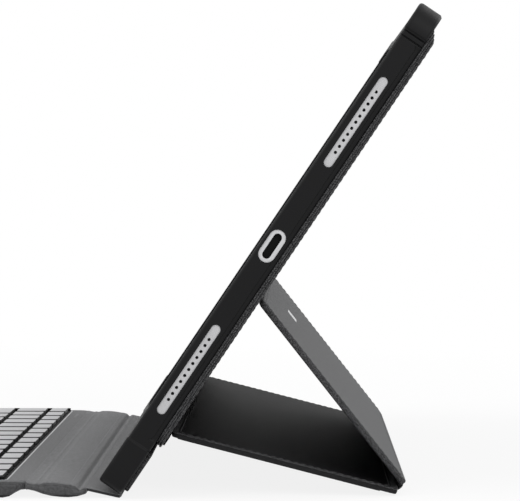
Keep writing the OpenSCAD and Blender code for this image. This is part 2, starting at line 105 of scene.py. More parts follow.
up_slope = Vector((0, math.cos(TRAY_ANGLE), math.sin(TRAY_ANGLE)))
off_front = Vector((0, -math.sin(TRAY_ANGLE), math.cos(TRAY_ANGLE)))
TRAY = placed(HINGE["wrap_fold"] + FOOT_DROP * up_slope + FOOT_BACK * off_front, TRAY_ANGLE)
BASE_LINE = between(HINGE["base_fold"], HINGE["strut_fold"])
ARM = (HINGE["strut_fold"] - HINGE["base_fold"]).length
BASE = placed(HINGE["base_fold"], BASE_LINE)
FOLD = placed(HINGE["strut_fold"], 2 * TRAY_ANGLE - BASE_LINE)
LEAN = Matrix.Rotation(STRUT_LEAN, 4, "X")
STRUT = FOLD @ (Matrix.Translation((0, ARM, 0)) @ LEAN @ Matrix.Translation((0, -ARM, 0)))
WRAP = placed(HINGE["wrap_fold"], between(HINGE["spine_fold"], HINGE["wrap_fold"]))
WRAP_L = (HINGE["spine_fold"] - HINGE["wrap_fold"]).length
WORLD = Matrix.Identity(4)


# ---- Material helpers ----

FABRIC = (0.150, 0.151, 0.155)
# Near black for painted shade: the sides of the keys and the insides of the openings
PAINTED_SHADE_BLACK = (0.004, 0.004, 0.004)
UNDERSIDE_TONE = (0.012, 0.012, 0.013)
# Texture scales are in cells per metre: the finest grain, and the slow change of tone over a whole face
FINE, SLOW = 2600, 22
SOCKETS = {"base": "Base Color", "rough": "Roughness", "metal": "Metallic", "sheen": "Sheen Weight",
           "sheen_rough": "Sheen Roughness", "specular": "Specular IOR Level"}


class Nodes:
    """Short way to build one material's nodes."""

    def __init__(self, name):
        self.material = bpy.data.materials.new(name)
        self.material.use_nodes = True
        self.tree = self.material.node_tree
        self.shader = self.tree.nodes["Principled BSDF"]
        self.place = self.tree.nodes.new("ShaderNodeTexCoord").outputs["Object"]

    def add(self, kind, **values):
        node = self.tree.nodes.new(kind)
        for key, value in values.items():
            setattr(node, key, value)
        return node

    def link(self, a, b):
        self.tree.links.new(a, b)

    def drive(self, socket, source):
        """Links a socket to one of the shader's inputs."""
        self.link(source, self.shader.inputs[SOCKETS[socket]])

    def set(self, **values):
        for key, value in values.items():
            self.shader.inputs[SOCKETS[key]].default_value = value

    def noise(self, scale, detail=2.0, rough=0.5, source=None):
        node = self.add("ShaderNodeTexNoise")
        node.inputs["Scale"].default_value = scale
        node.inputs["Detail"].default_value = detail
        node.inputs["Roughness"].default_value = rough
        self.link(source or self.place, node.inputs["Vector"])
        return node.outputs["Fac"]

    def cells(self, scale, feature="F1"):
        node = self.add("ShaderNodeTexVoronoi", feature=feature)
        node.inputs["Scale"].default_value = scale
        self.link(self.place, node.inputs["Vector"])
        return node.outputs["Distance"]

    def waves(self, scale, direction):
        node = self.add("ShaderNodeTexWave", bands_direction=direction)
        node.inputs["Scale"].default_value = scale
        node.inputs["Distortion"].default_value = 0.6
        node.inputs["Detail Scale"].default_value = 3.0
        self.link(self.place, node.inputs["Vector"])
        return node.outputs["Fac"]

    def axes(self, vector):
        """Outputs X, Y and Z of a vector."""
        node = self.add("ShaderNodeSeparateXYZ")
        self.link(vector, node.inputs[0])
        return node.outputs

    def facing(self):
        """Outputs X, Y and Z of the direction that a face looks in."""
        return self.axes(self.add("ShaderNodeTexCoord").outputs["Normal"])

    def math(self, kind, a, b):
        node = self.add("ShaderNodeMath", operation=kind)
        for i, value in enumerate((a, b)):
            if isinstance(value, (int, float)):
                node.inputs[i].default_value = value
            else:
                self.link(value, node.inputs[i])
        return node.outputs[0]

    def weighted(self, *parts):
        """Sum of sockets, each with its weight."""
        total = None
        for value, weight in parts:
            part = self.math("MULTIPLY", value, weight)
            total = part if total is None else self.math("ADD", total, part)
        return total

    def ramp(self, fac, stops):
        node = self.add("ShaderNodeValToRGB")
        for i, (position, colour) in enumerate(stops):
            element = node.color_ramp.elements[i]
            element.position = position
            element.color = (*colour, 1)
        self.link(fac, node.inputs["Fac"])
        return node.outputs["Color"]

    def gloss(self, fac, low, high):
        """Roughness that runs from low to high along fac."""
        self.drive("rough", self.ramp(fac, [(0.3, (low,) * 3), (0.7, (high,) * 3)]))

    def bump(self, height, strength, depth):
        node = self.add("ShaderNodeBump")
        node.inputs["Strength"].default_value = strength
        node.inputs["Distance"].default_value = depth
        self.link(height, node.inputs["Height"])
        self.link(node.outputs["Normal"], self.shader.inputs["Normal"])


def scaled(colour, share):
    return tuple(c * share for c in colour)


def varied(n, fac, colour, spread, start=0.3, end=0.7):
    """Colour socket that varies by a share of itself either way along fac."""
    return n.ramp(fac, [(start, scaled(colour, 1 - spread)), (end, scaled(colour, 1 + spread))])


def plastic(name, colour, rough, spread=0.08, specular=0.45):
    """Moulded plastic: fine spark-eroded grain, slow change of gloss and tone."""
    n = Nodes(name)
    slow = n.noise(SLOW, 2)
    n.drive("base", varied(n, slow, colour, spread))
    n.gloss(slow, rough - 0.05, rough + 0.06)
    n.set(specular=specular)
    n.bump(n.noise(FINE, 3), 0.25, 0.03 * MM)
    return n.material


def shaded(n, mask, colour, dark):
    """Colour socket that is colour where mask is 1 and dark where it is 0."""
    mix = n.add("ShaderNodeMix", data_type="RGBA")
    n.link(mask, mix.inputs["Factor"])
    if isinstance(dark, tuple):
        mix.inputs["A"].default_value = (*dark, 1)
    else:
        n.link(dark, mix.inputs["A"])
    n.link(colour, mix.inputs["B"])
    return mix.outputs["Result"]


def end_faces(n):
    """1 on faces that look along the panel's width, at its two ends."""
    return n.math("GREATER_THAN", n.math("ABSOLUTE", n.facing()["X"], 0), 0.55)


def keys_with_painted_side_shade(name, top, side):
    """Key caps: a light satin coat on the upper face; the sides are made near black as painted shade."""
    n = Nodes(name)
    upper = n.add("ShaderNodeMapRange")
    upper.inputs["From Min"].default_value = 0.72
    upper.inputs["From Max"].default_value = 0.94
    n.link(n.facing()["Z"], upper.inputs["Value"])
    coat = varied(n, n.noise(35, 2), top, 0.04)
    n.drive("base", shaded(n, upper.outputs["Result"], coat, side))
    n.set(rough=0.5, specular=0.35)
    n.bump(n.noise(FINE, 3), 0.2, 0.02 * MM)
    return n.material


def glint_speckled(name, dark, light):
    """Grained leather wrapped round a thin edge: each raised pebble gets a light speck in its colour, a
    painted highlight.
    """
    n = Nodes(name)
    glint_specks = n.math("SUBTRACT", n.math("MULTIPLY", n.noise(2500, 3, 0.7), 1.35),
                    n.math("MULTIPLY", n.cells(2900), 0.75))
    n.drive("base", n.ramp(glint_specks, [(0.22, dark), (0.5, light)]))
    n.set(rough=0.6, specular=0.22)
    n.bump(glint_specks, 0.4, 0.04 * MM)
    return n.material


def leather(name, colour, rough, grain, depth, spread, specular):
    """Fine grained leather: cells with creases between them, lighter on the raised pebbles."""
    n = Nodes(name)
    cells = n.cells(grain, "DISTANCE_TO_EDGE")
    height = n.weighted((n.math("MINIMUM", cells, 0.35), 2.4), (n.noise(2400, 3), 0.35))
    mottled = n.weighted((cells, 0.9), (n.noise(420, 3, 0.7), 0.6))
    n.drive("base", varied(n, mottled, colour, spread, 0.2, 0.75))
    n.set(rough=rough, specular=specular)
    n.bump(height, 0.55, depth)
    return n.material


def woven(name, colour, thread=0.42 * MM, rough=0.85, ends=None, under=None):
    """Plain weave with slubs and melange.

    ends is the share of the tone that is left on the two end faces, as painted shade there, and everything
    below under is dark.
    """
    n = Nodes(name)
    scale = math.pi / (10 * thread)
    weave = n.math("MULTIPLY", n.waves(scale, "X"), n.waves(scale, "Y"))
    height = n.math("ADD", weave, n.math("MULTIPLY", n.noise(1500, 3, 0.6), 0.5))
    mixed = n.weighted((height, 0.35), (n.noise(14, 3), 0.15), (n.noise(900, 2, 0.7), 0.7))

    def tones(low, high):
        return n.ramp(mixed, [(0.34, scaled(colour, low)), (0.84, scaled(colour, high))])

    shade = tones(0.5, 1.36)
    # Painted shade: the two end faces get a darker copy of the same tones
    if ends:
        shade = shaded(n, n.math("SUBTRACT", 1, end_faces(n)), shade, tones(0.5 * ends, 1.6 * ends))
    if under:
        above = n.math("GREATER_THAN", n.axes(n.place)["Z"], under)
        shade = shaded(n, above, shade, UNDERSIDE_TONE)
    n.drive("base", shade)
    n.set(rough=rough, specular=0.25, sheen=0.12, sheen_rough=0.5)
    n.bump(height, 0.6, 0.1 * MM)
    return n.material


def plate_with_painted_hole_shade(name, colour):
    """Satin plate let into an end wall: light on its outer face, and near black inside its openings as
    painted shade.
    """
    n = Nodes(name)
    face = varied(n, n.noise(60, 2), colour, 0.04)
    n.drive("base", shaded(n, end_faces(n), face, PAINTED_SHADE_BLACK))
    n.set(rough=0.45, specular=0.3)
    n.bump(n.noise(2400, 3), 0.1, 0.02 * MM)
    return n.material


def nap(name, colour):
    """Short microfibre nap: soft blotches where the pile lies differently."""
    n = Nodes(name)
    n.drive("base", varied(n, n.noise(30, 4, 0.65), colour, 0.35))
    n.set(rough=0.95, specular=0.15, sheen=0.1, sheen_rough=0.6)
    n.bump(n.noise(3200, 2), 0.4, 0.06 * MM)
    return n.material


def metal(name, colour, rough, metallic):
    """Satin metal with a fine brushed grain along one way."""
    n = Nodes(name)
    stretch = n.add("ShaderNodeMapping")
    stretch.inputs["Scale"].default_value = (0.08, 1, 1)
    n.link(n.place, stretch.inputs["Vector"])
    grain = n.noise(900, 3, 0.6, stretch.outputs["Vector"])
    n.drive("base", varied(n, grain, colour, 0.06))
    n.gloss(grain, rough - 0.05, rough + 0.07)
    n.set(metal=metallic)
    n.bump(grain, 0.08, 0.02 * MM)
    return n.material


MATERIALS = {
    "tray_plastic": plastic("tray_plastic", (0.0062, 0.0062, 0.0066), 0.46, specular=0.13),
    "black_leather": leather("black_leather", (0.0045, 0.0045, 0.005), 0.55, 1100, 0.12 * MM, 0.42, 0.05),
    "grey_fabric": woven("grey_fabric", FABRIC),
    "lining": nap("lining", (0.0085, 0.0085, 0.009)),
    "silver_metal": metal("silver_metal", (0.56, 0.56, 0.57), 0.42, 0.15),
    "trim_metal": metal("trim_metal", (0.36, 0.365, 0.37), 0.35, 0.3),
    "key_plastic": keys_with_painted_side_shade("key_plastic", (0.44, 0.44, 0.45), PAINTED_SHADE_BLACK),
    "black_plastic": plastic("black_plastic", (0.004, 0.004, 0.0042), 0.62, specular=0.1),
    "pad_plastic": plastic("pad_plastic", (0.085, 0.087, 0.09), 0.38, spread=0.03),
    "board_core": plastic("board_core", (0.28, 0.28, 0.25), 0.7),
    "magnet_steel": metal("magnet_steel", (0.5, 0.51, 0.53), 0.25, 0.9),
    "clear_film": plastic("clear_film", (0.72, 0.75, 0.77), 0.3),
    "dome_rubber": plastic("dome_rubber", (0.6, 0.62, 0.6), 0.6),
    "battery_foil": metal("battery_foil", (0.3, 0.33, 0.36), 0.35, 0.5),
    "circuit_laminate": plastic("circuit_laminate", (0.015, 0.1, 0.045), 0.3),
    "light_lens": plastic("light_lens", (0.11, 0.115, 0.112), 0.3),
}
# These fabrics have painted shade on their two end faces; on the wrap panel it is nearly black
COVER_TONES = woven("grey_fabric_over_leather", FABRIC, ends=0.42, under=1.2 * MM)
# The keyboard's fabric is the same fabric made darker, as painted shade
KEYBOARD_PAINTED_SHADE = woven("grey_fabric_keyboard_painted_shade", scaled(FABRIC, 0.84), ends=0.42, under=1.2 * MM)
WRAP_PAINTED_SHADE = woven("grey_fabric_painted_shade_ends", FABRIC, ends=0.12)
# Edge leathers: real grain, with light specks painted in as highlights
EDGE_LEATHER = glint_speckled("leather_edge", (0.0085, 0.0085, 0.0092), (0.088, 0.088, 0.091))
LIP_LEATHER = glint_speckled("leather_lip", (0.0025, 0.0025, 0.0028), (0.012, 0.012, 0.013))
GRILLE_FACE = plate_with_painted_hole_shade("grille_face", (0.49, 0.49, 0.5))
RING_FACE = plate_with_painted_hole_shade("ring_face", (0.57, 0.57, 0.58))
GREY_LEATHER = leather("grey_leather", (0.07, 0.071, 0.073), 0.6, 1500, 0.05 * MM, 0.16, 0.12)
THREAD = woven("thread", (0.11, 0.11, 0.113), 0.2 * MM, 0.8)
SLOT = {part["node"]: part["material_slot"] for part in frame["record"]["subparts"]}


# ---- Mesh helpers ----

def add_object(name, data):
    obj = bpy.data.objects.new(name, data)
    bpy.context.scene.collection.objects.link(obj)
    return obj


def closed(name, work):
    """Object of a closed shape in work, its faces turned outwards."""
    bmesh.ops.recalc_face_normals(work, faces=work.faces)
    mesh = bpy.data.meshes.new(name)
    work.to_mesh(mesh)
    work.free()
    return add_object(name, mesh)


def smooth(obj, degrees):
    """Shades obj smoothly, but for edges sharper than degrees."""
    for polygon in obj.data.polygons:
        polygon.use_smooth = True
    obj.data.set_sharp_from_angle(angle=math.radians(degrees))


def applied(obj):
    """Applies the modifiers of obj to its mesh."""
    bpy.context.view_layer.update()
    graph = bpy.context.evaluated_depsgraph_get()
    mesh = bpy.data.meshes.new_from_object(obj.evaluated_get(graph))
    obj.modifiers.clear()
    obj.data = mesh
    return obj


def dress(obj, body, slot, nodes=(), material=None):
    """Gives a piece its material, which is its slot's unless one is given, and its body if it has one, and
    hides the CAD nodes that it stands for.
    """
    obj.data.materials.clear()
    obj.data.materials.append(material or MATERIALS[slot])
    if body:
        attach(obj, body)
    if nodes:
        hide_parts(*nodes)
    return obj


def cleaned(mesh):
    """Merges doubled points and flat triangles, so that only real edges are left to round."""
    work = bmesh.new()
    work.from_mesh(mesh)
    bmesh.ops.remove_doubles(work, verts=work.verts, dist=0.002 * MM)
    bmesh.ops.dissolve_limit(work, angle_limit=math.radians(1.5), verts=work.verts, edges=work.edges)
    work.to_mesh(mesh)
    work.free()
    return mesh


def refined(node, width, segments, material=None):
    """A copy of a CAD node with its edges rounded, which stands for that node."""
    source = frame["nodes"][node]
    obj = add_object(node + "_finished", cleaned(source.data.copy()))
    bevel = obj.modifiers.new("round", "BEVEL")
    bevel.width = width
    bevel.segments = segments
    bevel.limit_method = "ANGLE"
    bevel.angle_limit = math.radians(30)
    applied(obj)
    smooth(obj, 35)
    return dress(obj, source["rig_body"], SLOT[node], [node], material)


def islands(work):
    """Loose pieces of a mesh, each as a list of its vertices."""
    seen, found = set(), []
    for first in work.verts:
        if first in seen:
            continue
        seen.add(first)
        piece = [first]
        for vert in piece:
            for edge in vert.link_edges:
                other = edge.other_vert(vert)
                if other not in seen:
                    seen.add(other)
                    piece.append(other)
        found.append(piece)
    return found


def tapered(obj, low, across, along):
    """Draws each key in towards its own middle, from the height low up to its top face."""
    work = bmesh.new()
    work.from_mesh(obj.data)
    for piece in islands(work):
        top = max(v.co.z for v in piece)
        middle_x = (min(v.co.x for v in piece) + max(v.co.x for v in piece)) / 2
        middle_y = (min(v.co.y for v in piece) + max(v.co.y for v in piece)) / 2
        for vert in piece:
            share = min(max((vert.co.z - low) / (top - low), 0), 1)
            vert.co.x -= math.copysign(across * share, vert.co.x - middle_x)
            vert.co.y -= math.copysign(along * share, vert.co.y - middle_y)
    work.to_mesh(obj.data)
    work.free()


def arc_drop(distance, radius):
    """How far a rounded edge has fallen at a distance inside the outline."""
    if distance >= radius:
        return 0.0
    return radius - math.sqrt(max(radius * radius - (radius - distance) ** 2, 0))


def stops(low, high, radius, inner):
    """Grid lines from low to high: close together over the rounded edges."""
    edge = [radius * (1 - math.cos(math.pi / 2 * i / 5)) for i in range(6)]
    span = high - low - 2 * radius
    middle = [low + radius + span * i / inner for i in range(1, inner)]
    return [low + e for e in edge] + middle + [high - e for e in reversed(edge)]


def in_corner(x, y, width, y0, y1, corner):
    """Moves a grid point of a rectangle into its round corner: the new place, and how far it is inside."""
    dx, dy = min(x + width / 2, width / 2 - x), min(y - y0, y1 - y)
    if dx >= corner or dy >= corner:
        return x, y, min(dx, dy)
    a, b = corner - dx, corner - dy
    reach, length = max(a, b), math.hypot(a, b)
    scale = reach / length if length else 0
    px = math.copysign(width / 2 - corner + a * scale, x)
    near = y < (y0 + y1) / 2
    py = y0 + corner - b * scale if near else y1 - corner + b * scale
    return px, py, corner - reach


def slab(name, place, width, y0, y1, bottom, top, edge, corner, inner, end=None):
    """Closed soft slab: rounded corners in plan, rounded edges and ends, free top and bottom heights.

    inner counts the grid steps across and along, edge is the radius of the long edges, end that of the ends.
    """
    end = end or edge
    xs = stops(-width / 2, width / 2, end, inner[0])
    ys = stops(y0, y1, edge, inner[1])
    work = bmesh.new()
    grid = {}
    for side, height, sign in (("top", top, -1), ("bottom", bottom, 1)):
        for i, x in enumerate(xs):
            dx = min(x + width / 2, width / 2 - x)
            for j, y in enumerate(ys):
                px, py, inside = in_corner(x, y, width, y0, y1, corner)
                limit = 0.47 * (top(px, py) - bottom(px, py))
                drop = arc_drop(inside * min(limit / edge, 1), min(edge, limit))
                drop = max(drop, arc_drop(dx * min(limit / end, 1), min(end, limit)))
                z = height(px, py) + sign * drop
                grid[side, i, j] = work.verts.new(place @ Vector((px, py, z)))
    cover_grid(work, grid, len(xs), len(ys))
    bmesh.ops.remove_doubles(work, verts=work.verts, dist=0.001 * MM)
    obj = closed(name, work)
    smooth(obj, 50)
    return obj


def cover_grid(work, grid, nx, ny):
    """Faces over the top and the bottom of a slab's grid, and round its border."""
    for i in range(nx - 1):
        for j in range(ny - 1):
            for side in ("top", "bottom"):
                places = ((i, j), (i + 1, j), (i + 1, j + 1), (i, j + 1))
                ring = [grid[side, *place] for place in places]
                work.faces.new(ring if side == "top" else ring[::-1])
    border = [(i, 0) for i in range(nx)] + [(nx - 1, j) for j in range(1, ny)]
    border += [(i, ny - 1) for i in range(nx - 2, -1, -1)] + [(0, j) for j in range(ny - 2, 0, -1)]
    for a, b in zip(border, border[1:] + border[:1]):
        work.faces.new([grid["bottom", *a], grid["bottom", *b], grid["top", *b], grid["top", *a]])


def level(z):
    return lambda x, y: z


def smoothstep(t):
    t = min(max(t, 0), 1)
    return t * t * (3 - 2 * t)


def prism(name, low, high):
    """Closed solid between two rings with the same number of points."""
    work = bmesh.new()
    sides = [[work.verts.new(p) for p in ring] for ring in (low, high)]
    for i in range(len(low)):
        j = (i + 1) % len(low)
        work.faces.new([sides[0][i], sides[0][j], sides[1][j], sides[1][i]])
    work.faces.new(sides[0][::-1])
    work.faces.new(sides[1])
    return closed(name, work)


def upright(name, ring, z0, z1):
    """Prism that stands on a ring of X, Y places."""
    return prism(name, *([Vector((x, y, z)) for x, y in ring] for z in (z0, z1)))


def cut(obj, cutters):
    """Takes the cutters away from obj, and removes them."""
    for cutter in cutters:
        modifier = obj.modifiers.new("cut", "BOOLEAN")
        modifier.operation = "DIFFERENCE"
        modifier.solver = "EXACT"
        modifier.object = cutter
    applied(obj)
    for cutter in cutters:
        bpy.data.objects.remove(cutter)


def rounded_loop(width, y0, y1, radius, xs=(), ys=()):
    """Points round a rectangle with round corners, and each point's outward direction.

    xs and ys are places where the straight sides get more points.
    """
    points = []
    steps = 10
    mid = (y0 + y1) / 2
    for sx, sy, start in ((1, 1, 0), (-1, 1, 90), (-1, -1, 180), (1, -1, 270)):
        centre = Vector((sx * (width / 2 - radius), mid + sy * (y1 - mid - radius), 0))
        for k in range(steps + 1):
            angle = math.radians(start + 90 * k / steps)
            out = Vector((math.cos(angle), math.sin(angle), 0))
            points.append((centre + radius * out, out))
        across = sx == sy
        order = sorted(xs if across else ys, reverse=(sx > 0) == across)
        for value in order:
            place = (value, mid + sy * (y1 - mid), 0) if across else (sx * width / 2, value, 0)
            points.append((Vector(place), out))
    return points


# ---- Tray shell ----

# Radius of the shell's corners, and of the two at its foot, which are squarer than the pocket's
TRAY_R, FOOT_R = 10.4 * MM, 4 * MM
# Length of the bumpers at the foot and at the top, and how the top of a bumper stands proud of the lip
BUMPER_LOW, BUMPER_HIGH = 21 * MM, 12.5 * MM
BUMPER_END, BUMPER_LIFT, LIP_LIFT = 0.9 * MM, 0.3 * MM, 0.2 * MM
# The two fine grooves: distance beyond the bumper, half width, depth
GROOVES = (0.6 * MM, 2.8 * MM)
GROOVE_HALF, GROOVE_DEPTH = 0.42 * MM, 0.5 * MM
# The panel let in along each side: distance beyond the bumper, corner radius, height of its line, depth
PANEL_START, PANEL_CORNER = 3.4 * MM, 1.8 * MM
PANEL_LINE, PANEL_STEP = 1.9 * MM, 0.28 * MM
# Back edge of the side, as inset and height in mm: on the bumper, and along the panel
BACK_EDGE = ((1.0, 0), (0.78, 0.04), (0.14, 0.68), (0.04, 0.84), (0, 1.1))
BACK_RAMP = ((1.5, 0), (1.0, 0.18), (0.62, 0.55), (0.36, 1.0), (0.28, 1.5))
FRONT_R = 1.25 * MM
# Inset of the lip's and the wall's inner faces, and thickness of the lip and the floor
LIP_IN, WALL_IN = 4.4 * MM, 2.7 * MM
LIP_T, FLOOR_T = 1.4 * MM, 1.8 * MM
# Inset and depth under the lip's upper face
LIP_PROFILE = ((LIP_IN - 0.7 * MM, 0), (LIP_IN - 0.2 * MM, 0.15 * MM), (LIP_IN, 0.6 * MM), (LIP_IN, 1.1 * MM),
               (LIP_IN - 0.3 * MM, LIP_T), (WALL_IN, LIP_T))


def beyond_bumper(point):
    """How far a point of the outline is beyond the end of its corner bumper: below 0 on the bumper."""
    low, high = point.y, TRAY_H - point.y
    end = BUMPER_LOW if low < high else BUMPER_HIGH
    return max(TRAY_W / 2 - abs(point.x) - BUMPER_LOW, min(low, high) - end)


def groove_depth(point, beyond):
    """Two fine grooves across the side just under each upper bumper."""
    if point.y < TRAY_H / 2 or abs(point.x) < TRAY_W / 2 - 5 * MM:
        return 0
    return GROOVE_DEPTH * max(smoothstep(1 - abs(beyond - g) / GROOVE_HALF) for g in GROOVES)


def side_profile(beyond):
    """Inset and height of the outer side from back to front, at a distance from the bumper."""
    t = min(max(beyond - PANEL_START, 0), PANEL_CORNER)
    line = PANEL_LINE + PANEL_CORNER - math.sqrt(PANEL_CORNER ** 2 - (PANEL_CORNER - t) ** 2)
    step = PANEL_STEP * smoothstep((beyond - PANEL_START) / (0.4 * MM))
    plain = smoothstep((beyond - PANEL_START) / (1.5 * MM))
    points = []
    for (bi, bz), (pi, pz) in zip(BACK_EDGE, BACK_RAMP):
        points.append(((bi + (pi - bi) * plain) * MM, (bz + (pz - bz) * plain) * MM))
    points += [(step, line - 0.06 * MM), (0, line + 0.12 * MM), (0, (line + TRAY_T) / 2)]
    for k in range(6):
        angle = math.pi / 2 * k / 5
        points.append((FRONT_R * (1 - math.cos(angle)), TRAY_T - FRONT_R * (1 - math.sin(angle))))
    return points


def near_breaks(ends):
    """Positions close together round the ends of the bumpers, where steps and grooves need them."""
    values = []
    for end, sign in ends:
        beyond = -1.4
        while beyond < 7:
            values.append(end + sign * beyond * MM)
            beyond += 0.14 if -1.1 < beyond < 6.2 else 0.35
    return values


def foot_corner(point, out):
    """The same point of the outline, on the squarer corner if it is one of the foot's."""
    if out.y > -0.001 or abs(out.x) < 0.001:
        return point
    centre = Vector((math.copysign(TRAY_W / 2 - BUMPER - FOOT_R, point.x), FOOT_R, 0))
    return centre + out * FOOT_R


def tray_column(point, out):
    """Places up the outer side of the wall, over the lip and down to the floor, at a point of the outline."""
    beyond = beyond_bumper(point)
    rise = smoothstep(-beyond / BUMPER_END)
    # Nothing stands proud of the foot itself, where the wrap panel folds flat against it
    grow = BUMPER * rise * (1 - max(-out.y, 0)) - groove_depth(point, beyond)
    column = []
    for inset, z in side_profile(beyond):
        place = foot_corner(point, out) - out * inset + out * grow
        lift = BUMPER_LIFT * rise * smoothstep((z - TRAY_T * 0.8) / (0.2 * TRAY_T))
        column.append(Vector((place.x, place.y, z + lift)))
    for inset, drop in LIP_PROFILE:
        place = point - out * inset
        column.append(Vector((place.x, place.y, TRAY_T - drop + LIP_LIFT * rise)))
    place = point - out * WALL_IN
    column.append(Vector((place.x, place.y, FLOOR_T)))
    return [TRAY @ p for p in column]


def tray_solid(name):
    """Tray without its openings: one column of points at each point of the outline."""
    ys = near_breaks([(BUMPER_LOW, 1), (TRAY_H - BUMPER_HIGH, -1)])
    ys += [v * MM for v in range(32, 202, 8)]
    xs = near_breaks([(TRAY_W / 2 - BUMPER_LOW, -1), (-TRAY_W / 2 + BUMPER_LOW, 1)])
    xs += [v * MM for v in range(-108, 110, 8)]
    outline = rounded_loop(TRAY_W - 2 * BUMPER, 0, TRAY_H - BUMPER, TRAY_R, xs, ys)
    work = bmesh.new()
    columns = [[work.verts.new(p) for p in tray_column(point, out)] for point, out in outline]
    for a, b in zip(columns, columns[1:] + columns[:1]):
        for k in range(len(a) - 1):
            work.faces.new([a[k], b[k], b[k + 1], a[k + 1]])
    work.faces.new([c[0] for c in columns][::-1])
    work.faces.new([c[-1] for c in columns])
    return closed(name, work)


def stadium(name, centre, length, width, depth, axis="X"):
    """Prism with round ends for the tray's side wall (axis X), or for its top wall (axis Y)."""
    half = (length - width) / 2
    ring = []
    for side in (1, -1):
        for k in range(25):
            angle = math.pi * k / 24 - side * math.pi / 2
            ring.append((side * half + width / 2 * math.cos(angle), width / 2 * math.sin(angle)))
    ends = []
    for d in (-depth / 2, depth / 2):
        flat = [(d, u, v) if axis == "X" else (u, d, v) for u, v in ring]
        ends.append([TRAY @ (centre + Vector(p)) for p in flat])
    return prism(name, *ends)


# Openings in the walls: height of their middle over the tray's back, and depth of what cuts them
WALL_MID, CUT_DEPTH = 5.2 * MM, 14 * MM
PORT_ALONG, GRILLE_OFFSET = 113 * MM, 57.5 * MM
GRILLE_L, GRILLE_T = 41 * MM, 3.7 * MM
BUTTON_T = 3.6 * MM
PORT_L, PORT_T = 14 * MM, 6.7 * MM
# Port, side buttons and top button: middle across, middle up the slope, length, width, axis
OPENINGS = ((TRAY_W / 2, PORT_ALONG, PORT_L, PORT_T, "X"),
            (-TRAY_W / 2, TRAY_H - 22 * MM, 14 * MM, BUTTON_T, "X"),
            (-TRAY_W / 2 + 44 * MM, TRAY_H, 26 * MM, BUTTON_T, "Y"))
CAMERA = Vector((-120 * MM, 197 * MM, 0))
CAMERA_SIDE, CAMERA_R, CAMERA_REACH = 30 * MM, 8 * MM, 6 * MM


def camera_cutter():
    """Square prism with round corners through the tray's back and the board on it."""
    ring = [p for p, _ in rounded_loop(CAMERA_SIDE, -CAMERA_SIDE / 2, CAMERA_SIDE / 2, CAMERA_R)]
    ends = [[TRAY @ (CAMERA + p + Vector((0, 0, z))) for p in ring] for z in (-CAMERA_REACH, CAMERA_REACH)]
    return prism("camera_cutter", *ends)


def make_tray():
    """Moulded shell with its openings: four for sound, the port, the buttons and the camera."""
    shell = tray_solid("tray_shell_moulded")
    cutters = [stadium("cut", Vector((s * TRAY_W / 2, PORT_ALONG + k * GRILLE_OFFSET, WALL_MID)),
                       GRILLE_L, GRILLE_T, CUT_DEPTH) for s in (-1, 1) for k in (-1, 1)]
    for x, y, length, width, axis in OPENINGS:
        cutters.append(stadium("cut", Vector((x, y, WALL_MID)), length, width, CUT_DEPTH, axis))
    cut(shell, cutters + [camera_cutter()])
    smooth(shell, 40)
    return dress(shell, "tray", "tray_plastic", ["tray_shell"])


# ---- Keyboard, spine and wrap panel ----

# Soft underside across the folds: distance behind the keyboard's crease and height, in mm
UNDERSIDE = ((-12.7, 0.0), (-11.0, 0.35), (-8.7, 1.8), (-6.5, 3.0), (-3.2, 3.2), (-0.6, 2.6), (2.3, 1.5),
             (5.7, 0.7), (9.3, 0.3), (12.5, 0.2), (15.8, 0.55), (19.0, 1.5), (20.8, 2.6), (22.4, 3.6))
# Rounding of the padded ends and of the padded edges
END, PAD_R = 2.2 * MM, 1.2 * MM
# A fold bends between two lines this far on either side of its own
BEND = 1.7 * MM
SPINE_LOW, SPINE_HIGH = CREASE_Y + BEND, GROOVE_Y - BEND
# The spine's crown, and how its top starts below the keyboard's and ends over the groove
SPINE_CROWN, SPINE_DROP = 0.35 * MM, 0.45 * MM
SPINE_END = GROOVE_Z + 0.8 * MM + 0.1 * MM
SPINE_BOW = 1.6
# The wrap panel's faces, below and above the line between its two folds
WRAP_DOWN, WRAP_UP = 0.5 * MM, 0.62 * MM


def underside(x, y):
    """Height of the padded underside: it lifts at the crease and again at the groove."""
    along = (y - CREASE_Y) / MM
    for (start, low), (end, high) in zip(UNDERSIDE, UNDERSIDE[1:]):
        if along < end:
            return (low + (high - low) * max((along - start) / (end - start), 0)) * MM
    return UNDERSIDE[-1][1] * MM


def keyboard_top(x, y):
    """Flat upper face, which falls over its last 5 mm towards the crease."""
    near = max(1 - (KB_REAR - y) / (5 * MM), 0)
    return KB_T + 0.04 * MM - 0.7 * MM * near ** 2


def make_keyboard_cover():
    """Fabric round the keyboard, with windows for the keys and the touch pad."""
    cover = slab("keyboard_cover_fabric", WORLD, KB_W, KB_FRONT, KB_REAR, underside, keyboard_top, PAD_R,
                 7 * MM, (90, 80), END)
    windows = []
    for (low, high), grow in ((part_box("deck_trim"), 0), (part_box("touch_pad"), 0.35 * MM)):
        window = rounded_loop(high.x - low.x + 2 * grow, low.y - grow, high.y + grow, 3 * MM)
        windows.append(upright("cut", [(p.x, p.y) for p, _ in window], 1.8 * MM, 9 * MM))
    cut(cover, windows)
    smooth(cover, 50)
    return dress(cover, "keyboard", "grey_fabric", ["keyboard_cover"], KEYBOARD_PAINTED_SHADE)


def spine_top(x, y):
    """Soft crown of the padded spine, which falls towards the foot of the tray."""
    u = min(max((y - SPINE_LOW) / (SPINE_HIGH - SPINE_LOW), 0), 1)
    share = u ** SPINE_BOW
    return (KB_T - SPINE_DROP) * (1 - share) + SPINE_END * share + SPINE_CROWN * math.sin(math.pi * u)


def make_spine():
    """Padded strip between the two folds."""
    spine = slab("spine_cover_fabric", WORLD, KB_W, SPINE_LOW, SPINE_HIGH, underside, spine_top, PAD_R,
                 2 * MM, (90, 30), END)
    return dress(spine, "spine", "grey_fabric", ["spine_cover"], COVER_TONES)


